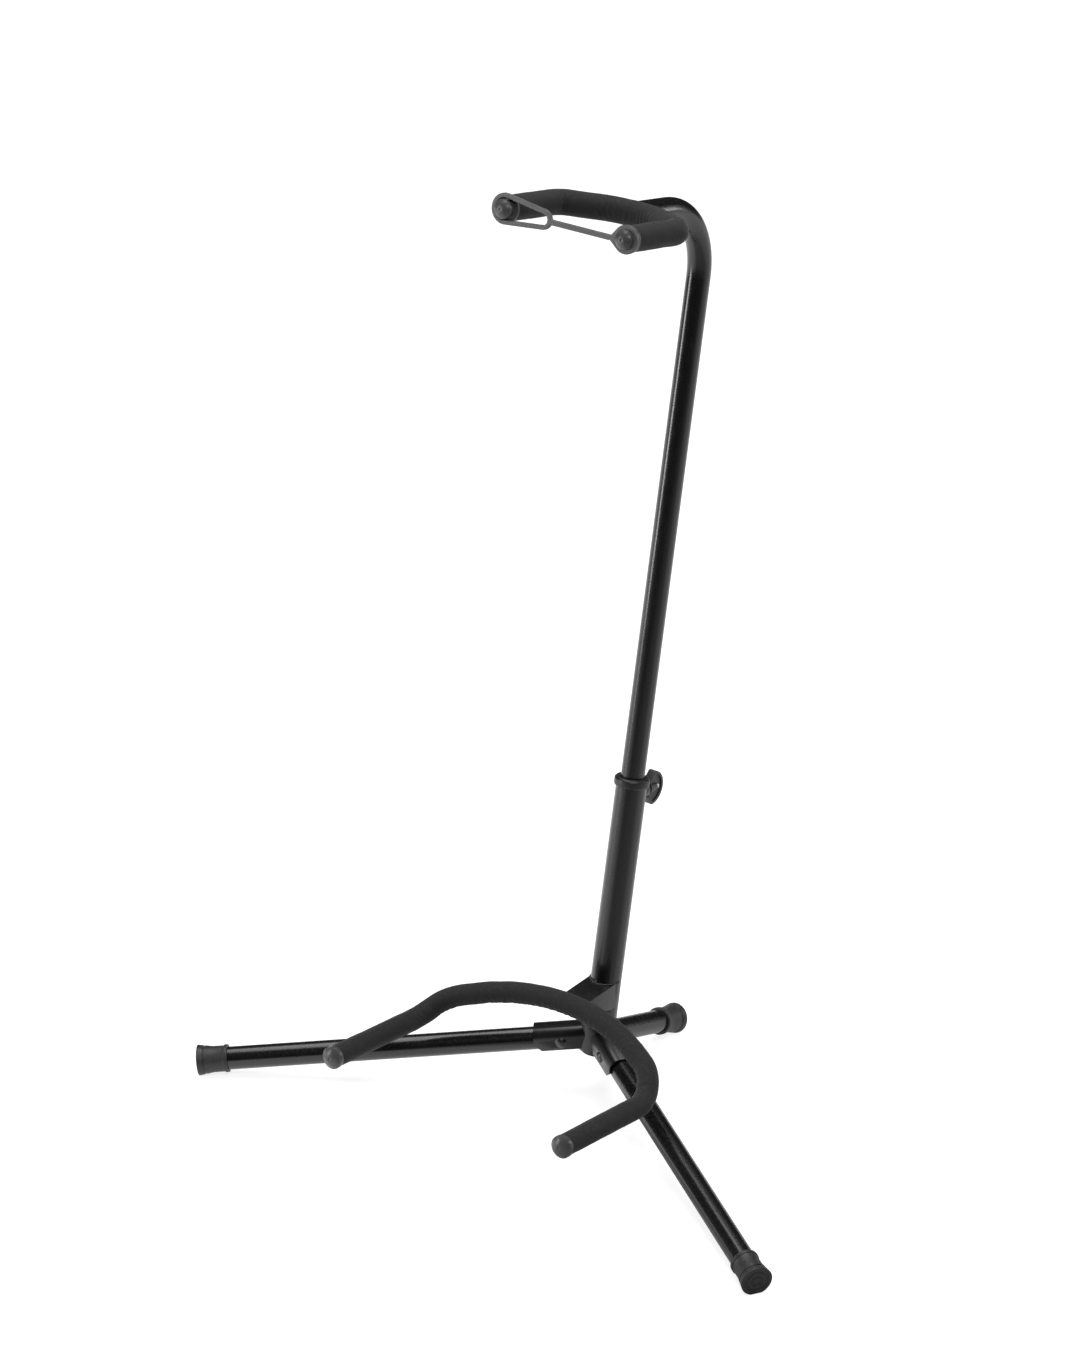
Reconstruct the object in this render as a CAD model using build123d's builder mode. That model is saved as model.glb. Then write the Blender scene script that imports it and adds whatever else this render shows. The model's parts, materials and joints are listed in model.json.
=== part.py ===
from build123d import *
import math
import os

# Tubular tripod guitar stand. +Z is up, the front is -Y and the right side is +X.
# The origin lies on the floor, in the middle of the stand's box. Millimetres and degrees.

os.makedirs("parts", exist_ok=True)

# ---- driving dimensions ----

mast_lean = 12.55             # the mast leans back by this much
yoke_height = 682.5           # along the mast, hub centre to the yoke's plane
mast_bend_radius = 57.0       # centre line of the bend at the top
mast_insertion = 94.0         # how far the upper tube is pushed into the lower one

leg_length = 328.6            # hub centre to the end of a front foot
leg_slope = 6.2               # front legs fall outwards by this much
leg_spread = 32.6             # front legs point this far forward of the side axis
rear_leg_length = 111.9       # hub centre to the end of the rear foot

lower_tube_diameter = 25.0
lower_tube_wall = 1.5
lower_tube_top = 211.0        # along the mast from the hub centre
lower_tube_bottom = 14.5      # below the hub centre
upper_tube_diameter = 19.0
upper_tube_wall = 1.2
leg_tube_diameter = 19.0
leg_tube_wall = 1.2

foot_length = 25.0
foot_wall = 1.2               # rubber round the tube, behind the lip
foot_end_wall = 3.2
foot_lip_wall = 1.9
foot_lip_length = 3.0
foot_bottom = 3.0             # rubber below the tube's end
foot_flat = 1.0               # depth of the flat that rests on the floor
foot_edge = 1.5
foot_insert_thickness = 1.5   # steel disc that keeps the tube from cutting through

hub_collar_wall = 3.2
hub_collar_up = 12.0
hub_collar_down = 13.0
saddle_reach = 52.0           # hub centre to the open end of a saddle
saddle_web = 18.0             # hub centre to the inside of a saddle
saddle_sheet = 1.5
saddle_mouth = 4.0            # the lower corner at the open end is cut back by this much
saddle_skirt = 6.4            # side plates reach this far below the leg's axis
leg_pivot_reach = 30.0        # hub centre to the leg's rivet
saddle_corner = 8.0           # outer radius along the saddle's top edges
leg_end_reach = 5.1           # tube left past the rivet, so that the end turns in the saddle
rivet_diameter = 6.0
rivet_head_diameter = 9.6
rivet_head_height = 2.0
spacer_wall = 1.3

bushing_length = 30.0
bushing_bead_overhang = 1.8   # the bead stands this far out of the lower tube
bushing_bead_round = 2.6
bushing_bead_height = 8.2
clamp_drop = 6.0              # screw axis below the lower tube's top
clamp_boss_diameter = 13.0
clamp_boss_height = 6.0
clamp_screw_diameter = 6.0
clamp_pad_diameter = 5.0
clamp_pad_seat = 1.25         # the pad's back stands this far into the lower tube's wall
wing_gap = 3.5                # between the boss and the wing
wing_reach = 19.0
screw_in_wing = 14.0
wing_span = 28.4
wing_thickness = 6.4
wing_rim = 2.4
wing_recess = 1.1
wing_hub_diameter = 11.0

stop_rivet_height = 50.0      # along the mast from the hub centre
stop_rivet_diameter = 4.0
stop_rivet_head_diameter = 8.0
stop_rivet_head_height = 3.6
stop_rivet_inside = 2.6
glide_flange = 6.0
glide_spigot = 16.0
glide_spigot_wall = 2.0

cradle_width = 224.0          # between the axes of the two arms
cradle_tip_forward = 198.2    # these five are measured from the hub centre
cradle_tip_height = 36.0
cradle_elbow_forward = 91.7
cradle_elbow_height = 20.9
cradle_shoulder_half = 100.0
cradle_shoulder_forward = 69.6
cradle_shoulder_height = 33.2
cradle_peak_forward = 25.3    # where the two shoulder lines would meet
cradle_peak_height = 60.3
cradle_elbow_radius = 32.0
cradle_shoulder_radius = 40.0
cradle_arch_radius = 170.0
cradle_rod_diameter = 8.0
cradle_foam_diameter = 17.6
cradle_cap_rim = 0.4          # the cap stands this far out of the foam
cradle_cap_length = 4.0
cradle_cap_dome = 3.0
cradle_cap_socket = 2.5       # the rod goes this far into its cap
bracket_sheet = 2.0
bracket_top = 47.4            # above the hub centre
bracket_depth = 21.0
bracket_nose = 6.0            # depth of the side plates at the rod

yoke_width = 110.4            # between the axes of the two arms
yoke_tip_forward = 184.0      # end of the foam, from the mast's axis
yoke_corner_forward = 119.5
yoke_bar_forward = 93.5
yoke_corner_radius = 15.0
yoke_bar_radius = 60.0
yoke_bar_sag = 4.0            # the bar's two halves would meet this far behind its middle
yoke_rod_diameter = 10.0
yoke_post_diameter = 7.0      # end of the rod inside the cap
yoke_foam_diameter = 20.0
yoke_flange_rim = 0.5         # the flange stands this far out of the foam
yoke_flange_thickness = 1.8
yoke_neck_diameter = 12.0
yoke_neck_length = 3.8
yoke_button_diameter = 15.0
yoke_button_thickness = 2.0
yoke_button_dome = 3.2
foam_joint = 0.2              # gap where the two foam halves meet

strap_thickness = 3.2
strap_ring_diameter = 21.8
strap_band_width = 4.2
strap_loop_reach = 35.4       # post axis to the centre of the loop's far end
strap_loop_end_radius = 7.8
strap_loop_band = 3.6
strap_band_drop = 1.4         # the band runs this far below the posts' axes
strap_loop_play = 0.8         # loop hole's radius above the button's
strap_neck_reach = 14.5       # ring centre to the strap's hinge line
strap_hinge_gap = 0.1

# ---- clearances ----

running_clearance = 0.05
sliding_clearance = 0.1
foam_clearance = 0.1

# ---- sizes worked out from them ----


def dome_radius(width, height):
    """Radius of the sphere whose cap has this width and height."""
    return ((width / 2) ** 2 + height**2) / (2 * height)


foot_mouth_radius = leg_tube_diameter / 2 + foot_wall
foot_lip_radius = leg_tube_diameter / 2 + foot_lip_wall
foot_end_radius = leg_tube_diameter / 2 + foot_end_wall
sin_slope = math.sin(math.radians(leg_slope))
cos_slope = math.cos(math.radians(leg_slope))
hub_height = leg_length * sin_slope + foot_end_radius * cos_slope - foot_flat
rear_foot_reach = math.hypot(rear_leg_length, foot_end_radius)
rear_leg_slope = math.degrees(
    math.asin((hub_height + foot_flat) / rear_foot_reach)
    - math.atan2(foot_end_radius, rear_leg_length)
)

sin_lean = math.sin(math.radians(mast_lean))
cos_lean = math.cos(math.radians(mast_lean))
mast_bend_start = yoke_height - mast_bend_radius
box_back = (
    mast_bend_start * sin_lean
    - mast_bend_radius * cos_lean
    + mast_bend_radius
    + upper_tube_diameter / 2
)
cradle_arm_tilt = math.atan2(
    cradle_tip_height - cradle_elbow_height,
    cradle_tip_forward - cradle_elbow_forward,
)
cradle_cap_diameter = cradle_foam_diameter + 2 * cradle_cap_rim
cradle_cap_sphere = dome_radius(cradle_cap_diameter, cradle_cap_dome)
cap_sphere_centre = cradle_cap_length + cradle_cap_dome - cradle_cap_sphere
box_front = (
    cradle_tip_forward + cap_sphere_centre * math.cos(cradle_arm_tilt) + cradle_cap_sphere
)
hub = Vector(0, (box_front - box_back) / 2, hub_height)

right = Vector(1, 0, 0)
up_the_mast = Vector(0, sin_lean, cos_lean)
forward = Vector(0, -cos_lean, sin_lean)

yoke_flange_diameter = yoke_foam_diameter + 2 * yoke_flange_rim
lower_tube_bore = lower_tube_diameter - 2 * lower_tube_wall
upper_tube_bore = upper_tube_diameter - 2 * upper_tube_wall
leg_tube_bore = leg_tube_diameter - 2 * leg_tube_wall
clamp_height = lower_tube_top - clamp_drop
upper_tube_bottom = lower_tube_top - mast_insertion


# ---- places ----

def mast_point(along, ahead=0.0, aside=0.0):
    """A point by its distance up the mast, ahead of its axis and to the right."""
    return hub + up_the_mast * along + forward * ahead + right * aside


def mast_level(along):
    """A plane square to the mast; its local -Y points forward."""
    return Plane(origin=mast_point(along), x_dir=right, z_dir=up_the_mast)


def facing_back(along, ahead):
    """A plane square to the forward direction, with its normal pointing back."""
    return Plane(origin=mast_point(along, ahead), x_dir=right, z_dir=forward * -1)


def facing_forward(along, ahead):
    """A plane square to the forward direction, with its normal pointing forward."""
    return Plane(origin=mast_point(along, ahead), x_dir=right, z_dir=forward)


def front_leg_direction(side):
    """Unit vector from the hub along a front leg; side is 1 or -1."""
    spread = math.radians(leg_spread)
    return Vector(
        side * math.cos(spread) * cos_slope,
        -math.sin(spread) * cos_slope,
        -sin_slope,
    )


def rear_leg_direction():
    """Unit vector from the hub along the rear leg."""
    slope = math.radians(rear_leg_slope)
    return Vector(0, math.cos(slope), -math.sin(slope))


def across(direction):
    """The horizontal unit vector square to a leg, about which it folds down."""
    return Vector(0, 0, 1).cross(direction).normalized()


def leg_section(direction):
    """A leg's upright middle plane: local X runs out along the leg, local Y is up."""
    return Plane(origin=hub, x_dir=direction, z_dir=across(direction) * -1)


def leg_level(direction, along):
    """A plane square to a leg: its Y is up, and its normal points outwards."""
    return Plane(origin=hub + direction * along, x_dir=across(direction), z_dir=direction)


def finish(piece, label):
    """Name a finished piece and write it."""
    piece.part.label = label
    export_step(piece.part, "parts/" + label + ".step")


sides = ((1, "right"), (-1, "left"))
mast_axis = Axis(hub, up_the_mast)

# ---- lower tube, with its clamp hole and its stop rivet's hole ----

lower_tube_length = lower_tube_top + lower_tube_bottom
with BuildPart() as lower_tube:
    with BuildSketch(mast_level(-lower_tube_bottom)):
        Circle(lower_tube_diameter / 2)
        Circle(lower_tube_bore / 2, mode=Mode.SUBTRACT)
    extrude(amount=lower_tube_length)
    with BuildSketch(facing_back(clamp_height, 0)):
        Circle(clamp_screw_diameter / 2 + running_clearance)
    extrude(amount=lower_tube_diameter, mode=Mode.SUBTRACT)
    with BuildSketch(facing_back(stop_rivet_height, 0)):
        Circle(stop_rivet_diameter / 2)
    extrude(amount=lower_tube_diameter, mode=Mode.SUBTRACT)
finish(lower_tube, "lower_tube")

# ---- plug in the lower tube's open end ----

plug_length = 9.0
plug_flange = 1.6
plug_wall = 1.8
with BuildPart() as lower_tube_plug:
    with BuildSketch(mast_level(-lower_tube_bottom)):
        Circle(lower_tube_bore / 2)
    extrude(amount=plug_length)
    with BuildSketch(mast_level(-lower_tube_bottom + plug_flange)):
        Circle(lower_tube_bore / 2 - plug_wall)
    extrude(amount=plug_length, mode=Mode.SUBTRACT)
    with BuildSketch(mast_level(-lower_tube_bottom)):
        Circle(lower_tube_diameter / 2)
    extrude(amount=-plug_flange)
    rim = lower_tube_plug.edges().filter_by(GeomType.CIRCLE).sort_by(mast_axis)[0]
    chamfer(rim, plug_flange / 2)
finish(lower_tube_plug, "lower_tube_plug")

# ---- hub bracket: a collar on the lower tube and a closed-top saddle for each leg ----

saddle_inside = leg_tube_diameter / 2 + 3 * sliding_clearance
saddle_outside = saddle_inside + saddle_sheet
saddle_roof = leg_tube_diameter / 2 + 3 * sliding_clearance
collar_outer = lower_tube_diameter / 2 + hub_collar_wall


def saddle_section(plane, half_width, roof, corner):
    """A saddle's section: flat sides and rounded top corners; the plane's Y is up."""
    with BuildSketch(plane) as section:
        with BuildLine():
            Line((-half_width, -saddle_skirt), (half_width, -saddle_skirt))
            Line((half_width, -saddle_skirt), (half_width, roof - corner))
            RadiusArc((half_width, roof - corner), (half_width - corner, roof), -corner)
            Line((half_width - corner, roof), (corner - half_width, roof))
            RadiusArc((corner - half_width, roof), (-half_width, roof - corner), -corner)
            Line((-half_width, roof - corner), (-half_width, -saddle_skirt))
        make_face()
    return section.sketch


with BuildPart() as hub_bracket:
    for side, name in sides:
        out = front_leg_direction(side)
        outside = saddle_section(
            leg_level(out, 0), saddle_outside, saddle_roof + saddle_sheet, saddle_corner
        )
        extrude(outside, amount=saddle_reach)
        inside = saddle_section(
            leg_level(out, saddle_web), saddle_inside, saddle_roof, saddle_corner - saddle_sheet
        )
        extrude(inside, amount=saddle_reach, mode=Mode.SUBTRACT)
        with BuildSketch(leg_section(out)):
            with Locations((saddle_reach, -saddle_skirt)):
                Rectangle(2 * saddle_mouth, 2 * saddle_mouth, rotation=45)
        extrude(amount=2 * saddle_outside, both=True, mode=Mode.SUBTRACT)
    with BuildSketch(mast_level(-hub_collar_down)):
        Circle(collar_outer)
    extrude(amount=hub_collar_down + hub_collar_up)
    with BuildSketch(mast_level(-lower_tube_length / 2)):
        Circle(lower_tube_diameter / 2)
    extrude(amount=lower_tube_length, mode=Mode.SUBTRACT)
    for side, name in sides:
        out = front_leg_direction(side)
        with BuildSketch(leg_section(out)):
            with Locations((leg_pivot_reach, 0)):
                Circle(rivet_diameter / 2)
        extrude(amount=2 * saddle_outside, both=True, mode=Mode.SUBTRACT)
finish(hub_bracket, "hub_bracket")

# ---- rear leg, coped to the collar and the lower tube ----

rear_out = rear_leg_direction()
rear_tube_end = rear_leg_length - foot_bottom - foot_insert_thickness
with BuildPart() as rear_leg_tube:
    with BuildSketch(leg_level(rear_out, 0)):
        Circle(leg_tube_diameter / 2)
        Circle(leg_tube_bore / 2, mode=Mode.SUBTRACT)
    extrude(amount=rear_tube_end)
    with BuildSketch(mast_level(-hub_collar_down)):
        Circle(collar_outer)
    extrude(amount=hub_collar_down + hub_collar_up, mode=Mode.SUBTRACT)
    with BuildSketch(mast_level(-lower_tube_length / 2)):
        Circle(lower_tube_diameter / 2)
    extrude(amount=lower_tube_length, mode=Mode.SUBTRACT)
    behind_collar = rear_leg_tube.solids().sort_by(Axis.Y)[-1]
    add(behind_collar, mode=Mode.REPLACE)
finish(rear_leg_tube, "rear_leg_tube")

# ---- front legs: tube, spacer inside it, and the rivet it turns on ----

leg_tube_end = leg_length - foot_bottom - foot_insert_thickness
spacer_outer = rivet_diameter / 2 + running_clearance + spacer_wall
for side, name in sides:
    out = front_leg_direction(side)

    with BuildPart() as front_leg_tube:
        with BuildSketch(leg_level(out, leg_pivot_reach - leg_end_reach)):
            Circle(leg_tube_diameter / 2)
            Circle(leg_tube_bore / 2, mode=Mode.SUBTRACT)
        extrude(amount=leg_tube_end - leg_pivot_reach + leg_end_reach)
        with BuildSketch(leg_section(out)):
            with Locations((leg_pivot_reach, 0)):
                Rectangle(leg_tube_diameter, 2 * leg_tube_diameter, align=(Align.MAX, Align.CENTER))
                Circle(leg_tube_diameter / 2, mode=Mode.SUBTRACT)
        extrude(amount=leg_tube_diameter, both=True, mode=Mode.SUBTRACT)
        with BuildSketch(leg_section(out)):
            with Locations((leg_pivot_reach, 0)):
                Circle(rivet_diameter / 2 + running_clearance)
        extrude(amount=leg_tube_diameter, both=True, mode=Mode.SUBTRACT)
    finish(front_leg_tube, "front_leg_tube_" + name)

    spacer_half = math.sqrt((leg_tube_bore / 2) ** 2 - spacer_outer**2) - sliding_clearance / 2
    with BuildPart() as leg_spacer:
        with BuildSketch(leg_section(out)):
            with Locations((leg_pivot_reach, 0)):
                Circle(spacer_outer)
                Circle(rivet_diameter / 2 + running_clearance, mode=Mode.SUBTRACT)
        extrude(amount=spacer_half, both=True)
    finish(leg_spacer, "leg_spacer_" + name)

    with BuildPart() as leg_pivot_rivet:
        with BuildSketch(leg_section(out)):
            with Locations((leg_pivot_reach, 0)):
                Circle(rivet_diameter / 2)
        extrude(amount=saddle_outside, both=True)
        for face_sign in (1, -1):
            face_plane = leg_section(out).offset(face_sign * saddle_outside)
            with BuildSketch(face_plane):
                with Locations((leg_pivot_reach, 0)):
                    Circle(rivet_head_diameter / 2)
            extrude(amount=face_sign * rivet_head_height, taper=24)
    finish(leg_pivot_rivet, "leg_pivot_rivet_" + name)

# ---- feet: flared rubber cups with a steel disc behind the bottom ----

feet = (
    ("front_foot_right", "foot_insert_right", front_leg_direction(1), leg_length),
    ("front_foot_left", "foot_insert_left", front_leg_direction(-1), leg_length),
    ("rear_foot", "foot_insert_rear", rear_out, rear_leg_length),
)
for foot_name, insert_name, out, end in feet:
    mouth = end - foot_length
    with BuildPart() as foot:
        with BuildSketch(leg_section(out)):
            with BuildLine():
                Polyline(
                    (mouth, leg_tube_diameter / 2),
                    (mouth, foot_lip_radius),
                    (mouth + foot_lip_length, foot_lip_radius),
                    (mouth + foot_lip_length, foot_mouth_radius),
                    (mouth + foot_length / 2, foot_mouth_radius),
                    (end, foot_end_radius),
                    (end, 0),
                    (end - foot_bottom, 0),
                    (end - foot_bottom, leg_tube_diameter / 2),
                    close=True,
                )
            make_face()
        revolve(axis=Axis(hub, out))
        end_rim = foot.edges().filter_by(GeomType.CIRCLE).group_by(Axis(hub, out))[-1]
        fillet(end_rim, foot_edge)
        with BuildSketch(Plane.XY):
            with Locations((hub.X + out.X * end, hub.Y + out.Y * end)):
                Circle(2 * foot_length)
        extrude(amount=-foot_length, mode=Mode.SUBTRACT)
    finish(foot, foot_name)

    with BuildPart() as foot_insert:
        with BuildSketch(leg_level(out, end - foot_bottom - foot_insert_thickness)):
            Circle(leg_tube_diameter / 2)
        extrude(amount=foot_insert_thickness)
    finish(foot_insert, insert_name)

# ---- stop rivet in the back of the lower tube ----

with BuildPart() as stop_rivet:
    with BuildSketch(facing_back(stop_rivet_height, 0).offset(lower_tube_bore / 2 - stop_rivet_inside)):
        Circle(stop_rivet_diameter / 2)
    extrude(amount=stop_rivet_inside + lower_tube_wall)
    with BuildSketch(facing_back(stop_rivet_height, 0).offset(lower_tube_diameter / 2)):
        Circle(stop_rivet_head_diameter / 2)
    extrude(amount=stop_rivet_head_height)
    head_edge = stop_rivet.edges().filter_by(GeomType.CIRCLE).sort_by(Axis(hub, forward))[0]
    fillet(head_edge, stop_rivet_head_height / 3)
finish(stop_rivet, "stop_rivet")

# ---- collar bushing: a sleeve in the lower tube's mouth with a round bead on top ----

bushing_bore = upper_tube_diameter / 2 + sliding_clearance
bead_outer = lower_tube_diameter / 2 + bushing_bead_overhang
with BuildPart() as collar_bushing:
    with BuildSketch(mast_level(lower_tube_top - bushing_length)):
        Circle(lower_tube_bore / 2)
    extrude(amount=bushing_length)
    with BuildSketch(mast_level(lower_tube_top)):
        Circle(bead_outer)
    extrude(amount=bushing_bead_height)
    bead_edges = collar_bushing.edges().filter_by(GeomType.CIRCLE).filter_by(
        lambda edge: edge.radius > lower_tube_diameter / 2
    )
    fillet(bead_edges, bushing_bead_round)
    with BuildSketch(mast_level(lower_tube_top - bushing_length)):
        Circle(bushing_bore)
    extrude(amount=bushing_length + bushing_bead_height, mode=Mode.SUBTRACT)
    with BuildSketch(facing_back(clamp_height, 0)):
        Circle(clamp_pad_diameter / 2 + running_clearance)
    extrude(amount=lower_tube_diameter, mode=Mode.SUBTRACT)
finish(collar_bushing, "collar_bushing")

# ---- threaded boss welded to the lower tube for the clamp screw ----

boss_end = lower_tube_diameter / 2 + clamp_boss_height
with BuildPart() as clamp_boss:
    with BuildSketch(facing_back(clamp_height, 0)):
        Circle(clamp_boss_diameter / 2)
        Circle(clamp_screw_diameter / 2 + running_clearance, mode=Mode.SUBTRACT)
    extrude(amount=boss_end)
    with BuildSketch(mast_level(clamp_height - clamp_boss_diameter)):
        Circle(lower_tube_diameter / 2)
    extrude(amount=2 * clamp_boss_diameter, mode=Mode.SUBTRACT)
    with BuildSketch(mast_level(lower_tube_top)):
        Circle(2 * bead_outer)
    extrude(amount=bushing_bead_height, mode=Mode.SUBTRACT)
finish(clamp_boss, "clamp_boss")

# ---- clamp screw, its pad and its wing ----

pad_start = upper_tube_diameter / 2 + running_clearance
pad_end = lower_tube_bore / 2 + clamp_pad_seat
with BuildPart() as clamp_pad:
    with BuildSketch(facing_back(clamp_height, 0).offset(pad_start)):
        Circle(clamp_pad_diameter / 2)
    extrude(amount=pad_end - pad_start)
finish(clamp_pad, "clamp_pad")

screw_start = pad_end + running_clearance
wing_start = boss_end + wing_gap
with BuildPart() as clamp_screw:
    with BuildSketch(facing_back(clamp_height, 0).offset(screw_start)):
        Circle(clamp_screw_diameter / 2)
    extrude(amount=wing_start + screw_in_wing - screw_start)
finish(clamp_screw, "clamp_screw")

wing_origin = mast_point(clamp_height, -wing_start)
wing_plane = Plane(origin=wing_origin, x_dir=forward * -1, z_dir=right)
with BuildPart() as wing_grip:
    with BuildSketch(wing_plane):
        with BuildLine():
            Polyline((0, -wing_span / 4), (0, wing_span / 4), (wing_reach * 0.3, wing_span / 2))
            ThreePointArc(
                (wing_reach * 0.3, wing_span / 2), (wing_reach, 0), (wing_reach * 0.3, -wing_span / 2)
            )
            Line((wing_reach * 0.3, -wing_span / 2), (0, -wing_span / 4))
        make_face()
        fillet(vertices(), wing_rim)
    extrude(amount=wing_thickness / 2, both=True)
    for face_sign in (1, -1):
        with BuildSketch(wing_plane.offset(face_sign * (wing_thickness / 2 - wing_recess))):
            with BuildLine():
                Polyline(
                    (wing_rim, -wing_span / 4 + wing_rim / 2),
                    (wing_rim, wing_span / 4 - wing_rim / 2),
                    (wing_reach * 0.3 + wing_rim / 2, wing_span / 2 - wing_rim),
                )
                ThreePointArc(
                    (wing_reach * 0.3 + wing_rim / 2, wing_span / 2 - wing_rim),
                    (wing_reach - wing_rim, 0),
                    (wing_reach * 0.3 + wing_rim / 2, -wing_span / 2 + wing_rim),
                )
                Line(
                    (wing_reach * 0.3 + wing_rim / 2, -wing_span / 2 + wing_rim),
                    (wing_rim, -wing_span / 4 + wing_rim / 2),
                )
            make_face()
        extrude(amount=face_sign * wing_recess, mode=Mode.SUBTRACT)
    with BuildSketch(facing_back(clamp_height, 0).offset(wing_start)):
        Circle(wing_hub_diameter / 2)
    extrude(amount=wing_reach * 0.55, taper=8)
    with BuildSketch(facing_back(clamp_height, 0).offset(wing_start)):
        Circle(clamp_screw_diameter / 2)
    extrude(amount=screw_in_wing, mode=Mode.SUBTRACT)
finish(wing_grip, "wing_grip")

# ---- cradle: one bent rod, two foam sleeves and two end caps ----

def cradle_point(aside, ahead, above):
    """A point by its place from the hub centre."""
    return hub + Vector(aside, -ahead, above)


cradle_half = cradle_width / 2
cradle_tips = [
    cradle_point(side * cradle_half, cradle_tip_forward, cradle_tip_height) for side, name in sides
]
cradle_elbows = [
    cradle_point(side * cradle_half, cradle_elbow_forward, cradle_elbow_height) for side, name in sides
]
cradle_shoulders = [
    cradle_point(side * cradle_shoulder_half, cradle_shoulder_forward, cradle_shoulder_height)
    for side, name in sides
]
cradle_peak = cradle_point(0, cradle_peak_forward, cradle_peak_height)
with BuildLine() as cradle_path:
    FilletPolyline(
        cradle_tips[0],
        cradle_elbows[0],
        cradle_shoulders[0],
        cradle_peak,
        cradle_shoulders[1],
        cradle_elbows[1],
        cradle_tips[1],
        radius=[
            cradle_elbow_radius,
            cradle_shoulder_radius,
            cradle_arch_radius,
            cradle_shoulder_radius,
            cradle_elbow_radius,
        ],
    )

cradle_line = cradle_path.line
with BuildPart() as cradle_rod:
    with BuildSketch(Plane(origin=cradle_line @ 0, z_dir=cradle_line % 0)):
        Circle(cradle_rod_diameter / 2)
    sweep(path=cradle_line)
    for tip, elbow in zip(cradle_tips, cradle_elbows):
        with BuildSketch(Plane(origin=tip, z_dir=(tip - elbow).normalized())):
            Circle(cradle_rod_diameter / 2)
        extrude(amount=cradle_cap_socket)
finish(cradle_rod, "cradle_rod")

# Bracket: an upside-down channel as wide as the lower tube, coped to it and welded to the rod.
bracket_half = lower_tube_diameter / 2
bracket_low = bracket_top - bracket_depth
rod_centre = cradle_line @ 0.5
bracket_side = Plane(origin=hub, x_dir=Vector(0, -1, 0), z_dir=Vector(-1, 0, 0))
bracket_reach = hub.Y - rod_centre.Y
with BuildPart() as cradle_bracket:
    with BuildSketch(bracket_side):
        with BuildLine():
            Polyline(
                (-lower_tube_diameter / 2, bracket_top),
                (bracket_reach, bracket_top),
                (bracket_reach, bracket_top - bracket_nose),
                (0, bracket_low),
                (-lower_tube_diameter / 2, bracket_low),
                close=True,
            )
        make_face()
    extrude(amount=bracket_half, both=True)
    with BuildSketch(bracket_side):
        with Locations((0, bracket_top - bracket_sheet)):
            Rectangle(4 * bracket_reach, 2 * bracket_depth, align=(Align.CENTER, Align.MAX))
    extrude(amount=bracket_half - bracket_sheet, both=True, mode=Mode.SUBTRACT)
    with BuildSketch(mast_level(0)):
        Circle(lower_tube_diameter / 2)
    extrude(amount=2 * bracket_top, mode=Mode.SUBTRACT)
    with BuildSketch(Plane.XZ.offset(-(hub.Y + (bracket_top - bracket_depth) * sin_lean))):
        with Locations((0, hub_height + bracket_top / 2)):
            Rectangle(4 * bracket_half, 4 * bracket_top)
    extrude(amount=-lower_tube_diameter, mode=Mode.SUBTRACT)
    add(cradle_rod.part, mode=Mode.SUBTRACT)
finish(cradle_bracket, "cradle_bracket")

for index, (side, name) in enumerate(sides):
    tip = cradle_tips[index]
    arm_out = (tip - cradle_elbows[index]).normalized()
    with BuildPart() as cradle_foam:
        with BuildSketch(Plane(origin=cradle_line @ 0, z_dir=cradle_line % 0)):
            Circle(cradle_foam_diameter / 2)
            Circle(cradle_rod_diameter / 2 + foam_clearance, mode=Mode.SUBTRACT)
        sweep(path=cradle_line)
        split(bisect_by=Plane.YZ.offset(side * foam_joint / 2), keep=Keep.TOP if side > 0 else Keep.BOTTOM)
        with BuildSketch(bracket_side):
            with Locations((bracket_reach + sliding_clearance, bracket_top + sliding_clearance)):
                Rectangle(2 * bracket_reach, 2 * bracket_depth, align=(Align.MAX, Align.MAX))
        extrude(amount=bracket_half + sliding_clearance, both=True, mode=Mode.SUBTRACT)
    finish(cradle_foam, "cradle_foam_" + name)

    radial = Vector(1, 0, 0)
    cap_section = Plane(origin=tip, x_dir=radial, z_dir=radial.cross(arm_out))
    with BuildPart() as cradle_cap:
        with BuildSketch(cap_section):
            with BuildLine():
                Polyline(
                    (0, cradle_cap_length + cradle_cap_dome),
                    (0, cradle_cap_socket),
                    (cradle_rod_diameter / 2, cradle_cap_socket),
                    (cradle_rod_diameter / 2, 0),
                    (cradle_cap_diameter / 2, 0),
                    (cradle_cap_diameter / 2, cradle_cap_length),
                )
                RadiusArc(
                    (cradle_cap_diameter / 2, cradle_cap_length),
                    (0, cradle_cap_length + cradle_cap_dome),
                    -dome_radius(cradle_cap_diameter, cradle_cap_dome),
                )
            make_face()
        revolve(axis=Axis(tip, arm_out))
    finish(cradle_cap, "cradle_cap_" + name)

# ---- upper tube: straight, one bend forward, and its end coped to the yoke rod ----

mast_path_plane = Plane(origin=hub, x_dir=forward, z_dir=right * -1)
with BuildLine(mast_path_plane) as mast_path:
    FilletPolyline(
        (0, upper_tube_bottom),
        (0, yoke_height),
        (yoke_bar_forward, yoke_height),
        radius=mast_bend_radius,
    )

yoke_half = yoke_width / 2
yoke_level = mast_level(yoke_height)
with BuildLine(yoke_level) as yoke_path:
    FilletPolyline(
        (yoke_half, -yoke_tip_forward),
        (yoke_half, -yoke_corner_forward),
        (0, -yoke_bar_forward + yoke_bar_sag),
        (-yoke_half, -yoke_corner_forward),
        (-yoke_half, -yoke_tip_forward),
        radius=[yoke_corner_radius, yoke_bar_radius, yoke_corner_radius],
    )

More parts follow.
